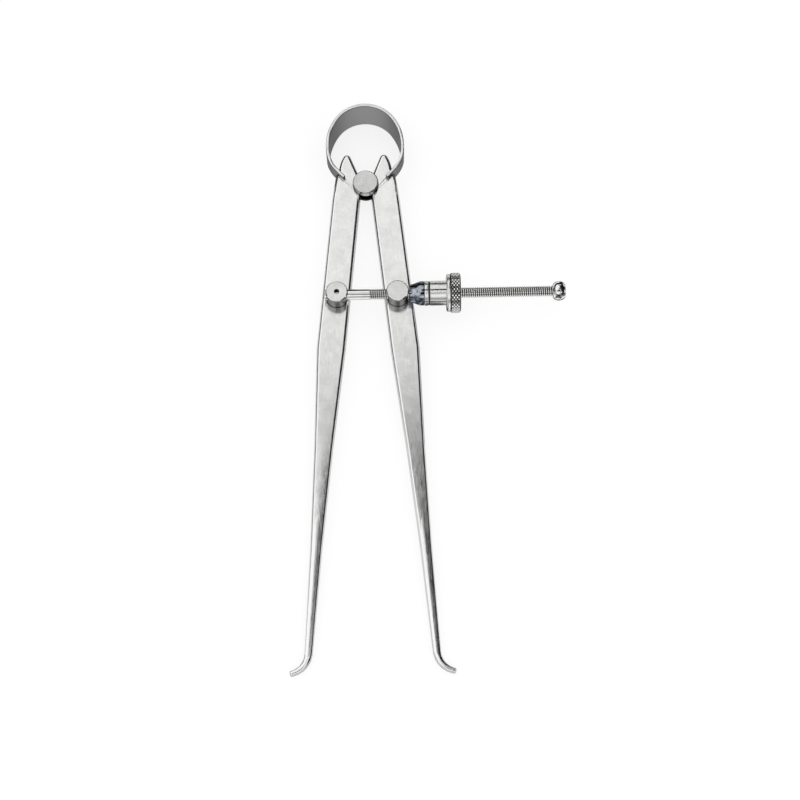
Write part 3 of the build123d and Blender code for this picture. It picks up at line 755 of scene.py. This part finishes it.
# %% Thread
PITCH, CREST = 0.635, 0.34  # the crest is a share of the pitch
THREAD_STEPS = 32  # round one turn
IN_KNOB = 0.3  # how far the thread goes on inside the knob
JOIN = 0.001 * MM
flank_middle = (screw_radius - THREAD_DEPTH / 2) * MM
thread_end = (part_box("screw_end_knob")[0].x - post_place["left"].x) / MM + IN_KNOB
turns = round((thread_end - THREAD_START) / PITCH) + 2
bpy.ops.object.select_all(action="DESELECT")
bpy.ops.mesh.primitive_plane_add(size=1, location=left_foot + ALONG["X"] * (THREAD_START - PITCH) * MM)
thread = bpy.context.object
thread.scale = (PITCH * MM, THREAD_DEPTH * MM, 1)
bpy.ops.object.transform_apply(location=False, rotation=False, scale=True)
bpy.ops.object.mode_set(mode="EDIT")
bpy.ops.mesh.select_all(action="SELECT")
bpy.ops.transform.translate(value=(0, flank_middle, 0))
bpy.ops.mesh.select_all(action="DESELECT")
pick("VERT", lambda vertex: vertex.co.y > flank_middle)
bpy.ops.transform.resize(value=(CREST, 1, 1), center_override=thread.location)
bpy.ops.mesh.select_all(action="DESELECT")
pick("EDGE", lambda edge: all(vertex.co.y < flank_middle for vertex in edge.verts))
bpy.ops.mesh.delete(type="EDGE_FACE")
done()
applied(thread, "SCREW", axis="X", screw_offset=PITCH * MM, iterations=turns, steps=THREAD_STEPS,
        render_steps=THREAD_STEPS, use_merge_vertices=True, merge_threshold=JOIN, use_smooth_shade=False)
placed(thread)
print("thread turns:", turns, "faces:", len(thread.data.polygons))

# %% Thread's ends
for cut, facing in ((THREAD_START, -1), (thread_end, 1)):
    editing(thread)
    bpy.ops.mesh.select_all(action="SELECT")
    bpy.ops.mesh.bisect(plane_co=left_foot + ALONG["X"] * cut * MM, plane_no=(facing, 0, 0), use_fill=True,
                        clear_outer=True)
    bpy.ops.mesh.select_all(action="SELECT")
    bpy.ops.mesh.remove_doubles(threshold=JOIN)
    bpy.ops.mesh.normals_make_consistent(inside=False)
    done()
alone(screw)
thread.select_set(True)
bpy.ops.object.join()
smooth(screw, 30)
dress(screw, screw_steel, "screw_steel", "adjusting_screw")
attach(screw, "screw")

# %% [markdown]
# ## Knob
# A round bead with two flat faces closes the free end of the screw, so that the nut can't run off it. Its
# outline is half a wave between the two faces.

# %% Knob
KNOB_FACE, KNOB_SEAT, KNOB_RINGS = 1.66, 2.6, 14  # radius of a face, depth of the screw's hole, rings
knob_low, knob_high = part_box("screw_end_knob")
knob_radius, knob_length = half_width("screw_end_knob", "z"), (knob_high.x - knob_low.x) / MM
bead = [(knob_length / 2 * (1 - cos(pi * ring / KNOB_RINGS)),
         KNOB_FACE + (knob_radius - KNOB_FACE) * sin(pi * ring / KNOB_RINGS)) for ring in range(KNOB_RINGS + 1)]
knob_foot = Vector((knob_low.x, axis_y, axis_z))
knob = turned("screw_end_knob_turned", knob_foot, [(KNOB_SEAT, screw_radius), (0, screw_radius)] + bead)
smooth(knob, 50)
dress(knob, knob_steel_painted_reflections, "nut_steel", "screw_end_knob")
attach(knob, "screw")

# %% [markdown]
# ## Seat cup
# The cup stands against the right post. Its mouth holds the noses of the nut's jaws closed on the thread, and
# it is polished and blued. Its outside swells from the neck in one soft curve, and a flat under the neck clears
# the leg. The curve is turned, and the flat is cut with a block.

# %% Seat cup
CUP_NECK, CUP_COLLAR, CUP_RIM, CUP_WALL, CUP_EDGE = 2.77, 0.7, 1.0, 0.45, 0.15
CUP_BORE, CUP_RECESS, CUP_RECESS_DEPTH = 1.7075, 2.35, 1.7
SWELL_RINGS = 8
cup_low, cup_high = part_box("seat_cup")
cup_length, cup_radius = (cup_high.x - cup_low.x) / MM, (cup_high.z - axis_z) / MM
swell = []
for ring in range(SWELL_RINGS + 1):
    share = ring / SWELL_RINGS
    swell.append((CUP_COLLAR + (cup_length - CUP_RIM - CUP_COLLAR) * share,
                  CUP_NECK + (cup_radius - CUP_NECK) * share * share * (3 - 2 * share)))
cup_foot = Vector((cup_low.x, axis_y, axis_z))
cup = turned("seat_cup_polished", cup_foot,
             [(cup_length - CUP_RECESS_DEPTH, CUP_BORE), (0, CUP_BORE), (0, CUP_NECK - CUP_EDGE),
              (CUP_EDGE, CUP_NECK)]
             + swell + [(cup_length - CUP_EDGE, cup_radius), (cup_length, cup_radius - CUP_EDGE),
                        (cup_length, cup_radius - CUP_WALL),
                        (cup_length - CUP_RECESS_DEPTH, CUP_RECESS)], bored=True)

# %% Flat under the cup's neck
CUP_FLAT = 0.2  # room between the flat and the leg
BLOCK_HEIGHT = 4
block_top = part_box("left_leg")[1].z + CUP_FLAT * MM
bpy.ops.object.select_all(action="DESELECT")
bpy.ops.mesh.primitive_cube_add(size=1, location=(cup_low.x + (cup_length - CUP_RIM) / 2 * MM, axis_y,
                                                  block_top - BLOCK_HEIGHT / 2 * MM))
block = bpy.context.object
block.scale = ((cup_length - CUP_RIM) * MM, 3 * cup_radius * MM, BLOCK_HEIGHT * MM)
placed(block)
applied(cup, "BOOLEAN", operation="DIFFERENCE", object=block, solver="EXACT")
bpy.data.objects.remove(block)
smooth(cup, 40)
dress(cup, blued_steel, "blued_steel", "seat_cup")
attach(cup, "right_post")

# %% [markdown]
# ## Split spring nut
# Six jaws make the nut. A ring spring draws them together, and a flange and a knurled thumb nut hold their
# heels. The jaws are copies of the CAD ones, because their noses and slots have to meet the cup as they do
# there, and they only get eased corners.

# %% Jaws
JAW_BREAK, JAW_CREASE = 0.08, 50
jaw_names = sorted(name for name in nodes if name.startswith("nut_jaw"))
for name in jaw_names:
    jaw = borrowed(name, name + "_turned")
    eased(jaw, JAW_BREAK, 2, JAW_CREASE)
    smooth(jaw)
    dress(jaw, nut_steel, "nut_steel", name)
    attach(jaw, "nut")

# %% Flange and ring spring
FLANGE_BREAK = 0.1
RING_WIRE = 0.4
flange = borrowed("nut_retaining_flange", "nut_retaining_flange_turned")
eased(flange, FLANGE_BREAK)
smooth(flange)
dress(flange, nut_steel, "nut_steel", "nut_retaining_flange")
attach(flange, "nut")

ring_low, ring_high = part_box("jaw_ring_spring")
ring_radius = (ring_high.z - ring_low.z - RING_WIRE * MM) / 2
bpy.ops.object.select_all(action="DESELECT")
bpy.ops.mesh.primitive_torus_add(major_radius=ring_radius, minor_radius=RING_WIRE / 2 * MM, major_segments=72,
                                 minor_segments=10, location=(middle("jaw_ring_spring").x, axis_y, axis_z),
                                 rotation=(0, pi / 2, 0))
ring = bpy.context.object
ring.name = ring.data.name = "jaw_ring_spring_wire"
placed(ring)
smooth(ring, 60)
dress(ring, spring_wire, "spring_wire", "jaw_ring_spring")
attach(ring, "nut")

# %% [markdown]
# ## Thumb nut
# The rim carries a diamond knurl. The diamonds are made from a plain band of squares: poking every square and
# dissolving the old edges turns the squares by 45 degrees. Each diamond is then inset and raised by itself,
# and the shoulders, the recess for the heels and the bore are drawn inwards from the band's two ends.

# %% Knurl
DIAMONDS, DIAMOND_ROWS = 30, 3
KNURL_DEPTH, KNURL_SLOPE = 0.28, 0.15  # height of a diamond, and width of its sloping side
SHOULDER = 0.18
nut_low, nut_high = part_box("thumb_nut")
nut_length = (nut_high.x - nut_low.x) / MM
band_radius = nut_radius - KNURL_DEPTH
bpy.ops.object.select_all(action="DESELECT")
bpy.ops.mesh.primitive_cylinder_add(vertices=DIAMONDS, radius=band_radius * MM,
                                    depth=(nut_length - 2 * SHOULDER) * MM, end_fill_type="NOTHING",
                                    location=axis_place, rotation=(0, pi / 2, 0))
thumb = bpy.context.object
thumb.name = thumb.data.name = "thumb_nut_knurled"
placed(thumb)
editing(thumb)
pick("EDGE", lambda edge: abs(edge.verts[0].co.x - edge.verts[1].co.x) > MM)
bpy.ops.mesh.subdivide(number_cuts=DIAMOND_ROWS - 1)
bpy.ops.mesh.select_all(action="SELECT")
square_corners = len(bmesh.from_edit_mesh(thumb.data).verts)
bpy.ops.mesh.poke()
bpy.ops.mesh.select_all(action="DESELECT")
pick("EDGE", lambda edge: not edge.is_boundary and all(vertex.index < square_corners for vertex in edge.verts))
bpy.ops.mesh.dissolve_edges(use_verts=False)
bpy.ops.mesh.select_all(action="SELECT")
bpy.ops.mesh.inset(thickness=KNURL_SLOPE * MM, depth=KNURL_DEPTH * MM, use_individual=True,
                   use_even_offset=True)
done()
reach = [(vertex.co.yz - axis_place.yz).length / MM for vertex in thumb.data.vertices]
print("knurl faces:", len(thumb.data.polygons), "radius, mm:", round(min(reach), 2), "to", round(max(reach), 2))


# %% Shoulders, recess and bore
def draw_in(edges_at, rings):
    """From the open edge at this distance from the foot, draw walls through rings of (distance, radius)."""
    edge_x = nut_low.x + edges_at * MM
    bpy.ops.mesh.select_all(action="DESELECT")
    pick("EDGE", lambda edge: edge.is_boundary and all(
        abs(vertex.co.x - edge_x) < 0.01 * MM for vertex in edge.verts))
    here, radius = edges_at, band_radius
    for there, next_radius in rings:
        bpy.ops.mesh.extrude_region_move(TRANSFORM_OT_translate={"value": ALONG["X"] * (there - here) * MM})
        growth = next_radius / radius
        bpy.ops.transform.resize(value=(1, growth, growth), center_override=nut_foot + ALONG["X"] * there * MM)
        here, radius = there, next_radius


HEEL_BORE, HEEL_DEPTH = 4.45, 1.7
nut_foot = Vector((nut_low.x, axis_y, axis_z))
editing(thumb)
draw_in(SHOULDER, [(0, band_radius - SHOULDER), (0, HEEL_BORE), (HEEL_DEPTH, HEEL_BORE),
                   (HEEL_DEPTH, CUP_BORE)])
draw_in(nut_length - SHOULDER, [(nut_length, band_radius - SHOULDER), (nut_length, CUP_BORE)])
bpy.ops.mesh.select_all(action="DESELECT")
pick("EDGE", lambda edge: edge.is_boundary)
bpy.ops.mesh.bridge_edge_loops()
bpy.ops.mesh.select_all(action="SELECT")
bpy.ops.mesh.normals_make_consistent(inside=False)
done()
smooth(thumb, 25)
dress(thumb, knurled_steel, "knurled_steel", "thumb_nut")
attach(thumb, "nut")
